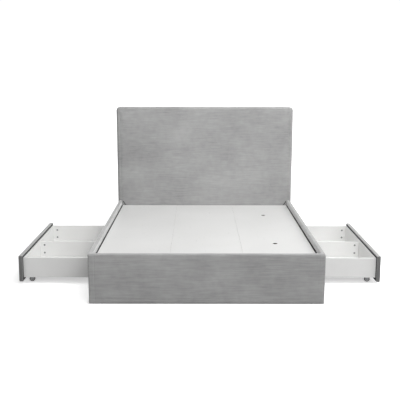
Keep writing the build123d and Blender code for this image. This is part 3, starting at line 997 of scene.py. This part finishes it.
# %% Model one tyre and one hub
wheel_low, wheel_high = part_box("left_drawer_wheel_outer_near")
wheel_radius = (wheel_high.z - wheel_low.z) / 2
wheel_width = wheel_high.y - wheel_low.y
tyre_thickness = 0.0042
hub_radius = wheel_radius - tyre_thickness
hub_recess = 0.0008  # how far each face of the hub lies inside the tyre's
hub_face = wheel_width / 2 - hub_recess
boss_radius, bore_radius = 0.0065, 0.00308
rim_width, dish_depth = 0.0022, 0.0042
tread_radius, lap = 0.0026, 0.001


def disc(name, radius, width):
    """A cylinder at the origin, lying along Y."""
    bpy.ops.object.select_all(action="DESELECT")
    bpy.ops.mesh.primitive_cylinder_add(vertices=56, radius=radius, depth=width)
    bpy.context.object.rotation_euler.x = math.pi / 2
    return place_for_good(name)


tyre_model = disc("tyre_model", wheel_radius, wheel_width)
subtract(tyre_model, disc("drill", hub_radius, wheel_width * 2))
round_edges(tyre_model, tread_radius, 4, lambda c, m: (
    abs(abs(m.y) - wheel_width / 2) < near and m.xz.length > wheel_radius - 0.001
    and abs(c[0].xz.length - c[1].xz.length) < near))
finish(tyre_model, tyre_plastic)

hub_model = disc("hub_model", hub_radius, hub_face * 2)
for way in (-1, 1):
    pick(hub_model, "FACE", lambda c, m: len(c) > 8 and m.y * way > hub_face - near)
    bpy.ops.mesh.inset(thickness=rim_width)
    bpy.ops.mesh.extrude_region_move(TRANSFORM_OT_translate={"value": (0, -way * dish_depth, 0)})
    bpy.ops.mesh.inset(thickness=hub_radius - rim_width - boss_radius)
    boss_rise = dish_depth + 0.0006
    bpy.ops.mesh.extrude_region_move(TRANSFORM_OT_translate={"value": (0, way * boss_rise, 0)})
    bpy.ops.object.mode_set(mode="OBJECT")
round_edges(hub_model, 0.0005, 2, lambda c, m: abs(m.y) > hub_face - near and m.xz.length > 0.004)
subtract(hub_model, disc("drill", bore_radius, wheel_width * 2))

half_rib = 0.0007
ribs = []
for way in (-1, 1):
    for step in range(5):
        rib = block("rib", (boss_radius - lap, 0, -half_rib), (hub_radius - lap, dish_depth, half_rib))
        turn = Matrix.Rotation(math.tau * step / 5 + 0.3, 4, "Y")
        rib_y = way * (hub_face - hub_recess) - (dish_depth if way > 0 else 0)
        rib.data.transform(Matrix.Translation((0, rib_y, 0)) @ turn)
        ribs.append(rib)
for rib in ribs:
    round_edges(rib, 0.0002, 2, lambda c, m: True)
only(hub_model)
for rib in ribs:
    rib.select_set(True)
bpy.ops.object.join()
finish(hub_model, hub_plastic)
for model in (tyre_model, hub_model):
    smooth(model, 35)
print("one castor wheel:", len(tyre_model.data.polygons) + len(hub_model.data.polygons), "faces")

# %% Put a tyre and a hub on each axle
for side in ("left", "right"):
    for row in ("outer", "inner"):
        for end in ("near", "far"):
            wheel = f"{side}_drawer_wheel_{row}_{end}"
            low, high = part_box(wheel)
            for model, word in ((tyre_model, "tyre"), (hub_model, "hub")):
                copy = add_piece(f"{wheel}_{word}", model.data.copy())
                copy.data.transform(Matrix.Translation((low + high) / 2))
                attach(copy, wheel)
                if word == "tyre":
                    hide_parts(wheel)
for model in (tyre_model, hub_model):
    bpy.data.objects.remove(model)
print("eight wheels placed")

# %% [markdown]
# ## Stitches and staples
# Beside each seam runs a line of top stitching, and round the back lining a line of staples. One stitch
# and one staple are modelled, and a row is that one mesh repeated at each place. The places are found by
# looking at the cover along the needle's line, so that a stitch sits on the cloth however it swelled.

# %% Model one stitch and one staple, and lay rows of them
def repeat(name, model, places, material):
    """One piece made of a model at each of many places."""
    shape = points_of(model)
    faces = [tuple(face.vertices) for face in model.data.polygons]
    points, rows = [], []
    for index, (spot, turn) in enumerate(places):
        points += [tuple(point) for point in shape @ np.array(turn.to_3x3()).T + np.array(spot)]
        rows += [tuple(corner + index * len(shape) for corner in face) for face in faces]
    mesh = bpy.data.meshes.new(name)
    mesh.from_pydata(points, [], rows)
    piece = only(add_piece(name, mesh))
    bpy.ops.object.shade_smooth()
    hand_over(piece, material, "frame")


def on_cloth(cover, x, z):
    """The point where a line along +Y from the foot meets a cover, sunk in a little."""
    sink = 0.0001
    found, point, _, _ = cover.ray_cast(Vector((x, -2, z)), Vector((0, 1, 0)))
    return point + Vector((0, sink, 0)) if found else None


def stitch_line(cover, start, end):
    """Places of stitches on a cover, between two points given as (x, z)."""
    pitch = 0.0072
    start, end = Vector(start), Vector(end)
    steps = int((end - start).length / pitch)
    turn = Matrix.Rotation(math.atan2(end.y - start.y, end.x - start.x), 4, "Y").inverted()
    spots = [on_cloth(cover, *start.lerp(end, (step + 0.5) / steps)) for step in range(steps)]
    return [(spot, turn) for spot in spots if spot is not None]


bpy.ops.mesh.primitive_uv_sphere_add(segments=6, ring_count=5, radius=0.00045)
bpy.context.object.scale = (5.0, 1.0, 1.0)
stitch = place_for_good("stitch")

stitch_offset = 0.006
row_x, row_z = seam_x - stitch_offset, seam_z - stitch_offset
rail_line = rail_high.z + 0.004
head_rows = stitch_line(headboard, (-row_x, row_z), (row_x, row_z))
for side in (-1, 1):
    head_rows += stitch_line(headboard, (side * row_x, rail_line), (side * row_x, row_z))
repeat("headboard_topstitch", stitch, head_rows, thread)

strip_x = foot_end.x - end_strip - stitch_offset
hem_row = foot_start.z + hem_height + stitch_offset
foot_rows = stitch_line(foot_panel, (-strip_x, hem_row), (strip_x, hem_row))
for side in (-1, 1):
    foot_rows += stitch_line(foot_panel, (side * strip_x, hem_row), (side * strip_x, foot_end.z - 0.012))
repeat("foot_topstitch", stitch, foot_rows, thread)
bpy.data.objects.remove(stitch)

half_staple = Vector((0.0055, 0.0003, 0.0003))
staple = block("staple", -half_staple, half_staple)
round_edges(staple, 0.00015, 2, lambda c, m: True)
staple_pitch, staple_inset = 0.048, 0.010
staple_y = lining_high.y + 0.0002
staple_places = []
upright = Matrix.Rotation(math.pi / 2, 4, "Y")
for x in evenly(lining_low.x, lining_high.x, staple_pitch, staple_inset * 2):
    for z in (lining_low.z + staple_inset, lining_high.z - staple_inset):
        tilt = Matrix.Rotation(0.25 * math.sin(x * 91 + z * 7), 4, "Y")
        staple_places.append(((x, staple_y, z), tilt))
for z in evenly(lining_low.z, lining_high.z, staple_pitch, staple_inset * 2):
    for x in (lining_low.x + staple_inset, lining_high.x - staple_inset):
        tilt = Matrix.Rotation(0.25 * math.sin(z * 83 + x * 5), 4, "Y")
        staple_places.append(((x, staple_y, z), upright @ tilt))
repeat("back_staples", staple, staple_places, bright_zinc)
bpy.data.objects.remove(staple)

# %% [markdown]
# ## Room and light
# The bed stands on a plain pale floor in front of white, as in a catalogue. A floor that looks pure white
# throws back too much light and flattens everything, so there are two floors in one place: a mid-grey one
# that only the light meets, and a white one that only the camera sees, where contact shadows still fall.
# That white floor glows except over the bed's footprint, where the missing glow is a painted shadow.
# The white surround behind is for the camera alone too. The sky is brighter on the right, and four soft
# lamps stand overhead, before the foot, at a window on the right and, very weak, on the left.

# %% Floors and surround
def matt_paint(name, dark, light, glow, shadow_under_bed=False):
    """Matt paint with a faint mottle and a glow, which may be none over the bed's footprint, a painted
    shadow under the bed, and full far off.
    """
    shader = Shader(name)
    tone = shader.mix(shader.noise(30, detail=4), (dark,) * 3, (light,) * 3)
    colour = (1, 1, 1, 1)
    if shadow_under_bed:
        # No glow over the bed's footprint: a painted shadow under the bed. Past its edge the glow rises,
        # then grows to full far off.
        past_side = shader.part(shader.place(), "X").far() - rail_outside
        past_end = shader.part(shader.place(), "Y").far() - cad_high.y
        out = past_side.or_more(past_end)
        share = out.above(0.0, 0.02) * glow + out.above(3.0, 2.6) * (1 - glow)
        colour = shader.mix(share, (0, 0, 0), (1, 1, 1))
        glow = 1.0
    return shader.surface(Base_Color=tone, Roughness=0.9, Emission_Color=colour, Emission_Strength=glow)


rail_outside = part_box("right_rail_cover")[1].x
bpy.ops.mesh.primitive_plane_add(size=50)
light_floor = place_for_good("light_floor")
finish(light_floor, matt_paint("floor_grey", 0.38, 0.42, 0.0))
light_floor.visible_camera = False
bpy.ops.mesh.primitive_plane_add(size=50, location=(0, 0, 0.0001))
white_floor = place_for_good("white_floor")
finish(white_floor, matt_paint("floor_white", 0.84, 0.88, 0.52, shadow_under_bed=True))
bpy.ops.mesh.primitive_uv_sphere_add(segments=48, ring_count=24, radius=24)
surround = place_for_good("surround")
finish(surround, matt_paint("surround_white", 0.0, 0.0, 1.02))
for camera_only in (white_floor, surround):
    camera_only.visible_diffuse = camera_only.visible_glossy = False
    camera_only.visible_transmission = camera_only.visible_shadow = False

# %% Sky and lamps
sky = Shader("sky", bpy.data.worlds)
bpy.context.scene.world = sky.owner
toward = sky.node("ShaderNodeTexCoord", {}, {}, "Generated")
brightness = sky.node("ShaderNodeMapRange", {}, {
    "Value": sky.part(toward, "X"), "From Min": -1, "From Max": 1, "To Min": 0.32, "To Max": 0.86,
})
glow = sky.node("ShaderNodeBackground", {}, {"Color": (1, 1, 1, 1), "Strength": brightness})
sky.node("ShaderNodeOutputWorld", {}, {"Surface": glow})


def soft_light(name, place, aim, size, power):
    """A square area light."""
    lamp = bpy.data.lights.new(name, "AREA")
    lamp.size = size
    lamp.energy = power
    light = add_piece(name, lamp)
    light.location = place
    light.rotation_euler = (Vector(aim) - Vector(place)).to_track_quat("-Z", "Y").to_euler()


soft_light("overhead", (1.0, -0.9, 3.7), (0.3, 0.8, 0.5), 3.0, 78)
soft_light("front", (0.9, -5.8, 2.8), (0.0, -0.6, 0.35), 2.4, 80)
soft_light("window", (4.6, 0.0, 2.8), (0.0, 0.4, 0.5), 2.4, 68)
soft_light("fill", (-4.2, -4.6, 1.5), (-1.0, -0.8, 0.2), 2.0, 6)
bpy.context.scene.view_settings.view_transform = "Standard"
print("lights placed")
